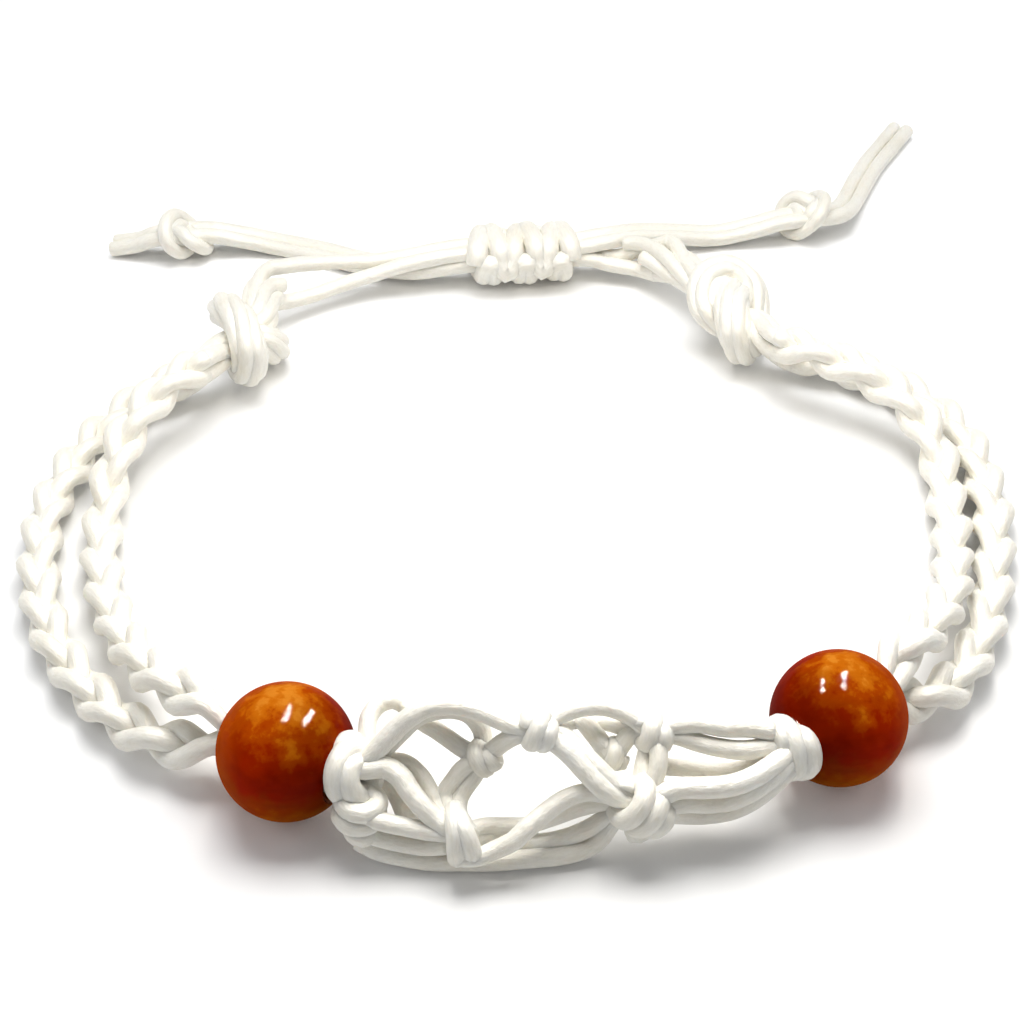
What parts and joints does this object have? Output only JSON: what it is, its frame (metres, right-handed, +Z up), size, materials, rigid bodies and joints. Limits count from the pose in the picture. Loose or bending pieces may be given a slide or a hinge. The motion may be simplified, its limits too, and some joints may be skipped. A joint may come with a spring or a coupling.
{
  "type": "macrame bracelet",
  "caption": "Adjustable macrame bracelet of waxed cord: an open net pouch between wooden beads, plaited sides, knotted ends and a sliding closing knot; worn round the wrist.",
  "frame": {"origin": "middle of the bracelet's box without its free closing cords, at its base, on the surface that it lies on", "axes": "+Z up from the surface; +Y from the net pouch and beads at the front to the sliding knot at the back; +X to the right as seen from the front"},
  "size_m": [0.0741, 0.0814, 0.0087],
  "materials": {
    "cord": "waxed cotton, faint sheen",
    "bead": "orange-brown stain under clear gloss lacquer"
  },
  "bodies": {
    "root": {"net_pouch": "cord", "gather_knot_left": "cord", "gather_knot_right": "cord", "bead_left": "bead", "bead_right": "bead", "plait_outer_left_1": "cord", "plait_outer_left_2": "cord", "plait_outer_left_3": "cord", "plait_inner_left_1": "cord", "plait_inner_left_2": "cord", "plait_inner_left_3": "cord", "plait_outer_right_1": "cord", "plait_outer_right_2": "cord", "plait_outer_right_3": "cord", "plait_inner_right_1": "cord", "plait_inner_right_2": "cord", "plait_inner_right_3": "cord", "big_knot_left": "cord", "big_knot_right": "cord", "closing_cord_left_1": "cord", "closing_cord_left_2": "cord", "closing_cord_right_1": "cord", "closing_cord_right_2": "cord", "sliding_knot": "cord", "end_knot_left": "cord", "end_knot_right": "cord"}
  },
  "joints": []
}
